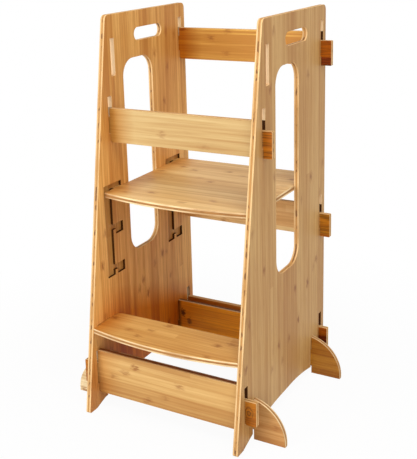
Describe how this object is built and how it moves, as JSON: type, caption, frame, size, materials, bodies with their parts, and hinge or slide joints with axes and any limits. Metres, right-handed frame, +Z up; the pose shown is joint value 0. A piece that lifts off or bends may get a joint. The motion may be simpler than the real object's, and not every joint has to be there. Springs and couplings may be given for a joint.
{
  "type": "toddler kitchen helper stool",
  "caption": "Slot-together bamboo standing tower for a small child: tapered sides, hooked cross boards, height-adjustable bowed platform, fixed step and wide anti-tip feet.",
  "frame": {"origin": "on the floor, midway between the side panels and midway along their feet", "axes": "+X to the right of someone climbing in, +Y towards the worktop, +Z up"},
  "size_m": [0.5414, 0.4863, 0.9],
  "materials": {
    "panel_bamboo": "satin oiled bamboo",
    "tread_bamboo": "satin oiled bamboo",
    "rail_bamboo": "satin oiled bamboo",
    "kick_bamboo": "satin oiled bamboo",
    "foot_bamboo": "satin oiled bamboo"
  },
  "bodies": {
    "frame": {"side_panel_left": "panel_bamboo", "side_panel_right": "panel_bamboo", "front_stabiliser": "foot_bamboo", "rear_stabiliser": "foot_bamboo", "lower_step": "tread_bamboo"},
    "platform": {"standing_platform": "tread_bamboo"},
    "guard_rail": {"front_guard_rail": "rail_bamboo"},
    "rear_top_rail": {"rear_top_rail": "rail_bamboo"},
    "rear_middle_rail": {"rear_middle_rail": "rail_bamboo"},
    "rear_bottom_rail": {"rear_bottom_rail": "rail_bamboo"},
    "kick_board": {"front_kick_board": "kick_bamboo"}
  },
  "joints": [
    {"name": "platform_lift", "type": "slide", "parent": "frame", "child": "platform", "axis": [0, 0, 1], "range_m": [0, 0.0125]},
    {"name": "guard_rail_lift", "type": "slide", "parent": "frame", "child": "guard_rail", "axis": [0, 0, 1], "range_m": [0, 0.046]},
    {"name": "rear_top_rail_lift", "type": "slide", "parent": "frame", "child": "rear_top_rail", "axis": [0, 0, 1], "range_m": [0, 0.046]},
    {"name": "rear_middle_rail_lift", "type": "slide", "parent": "frame", "child": "rear_middle_rail", "axis": [0, 0, 1], "range_m": [0, 0.046]},
    {"name": "rear_bottom_rail_lift", "type": "slide", "parent": "frame", "child": "rear_bottom_rail", "axis": [0, 0, 1], "range_m": [0, 0.037]},
    {"name": "kick_board_lift", "type": "slide", "parent": "frame", "child": "kick_board", "axis": [0, 0, 1], "range_m": [0, 0.029]}
  ]
}
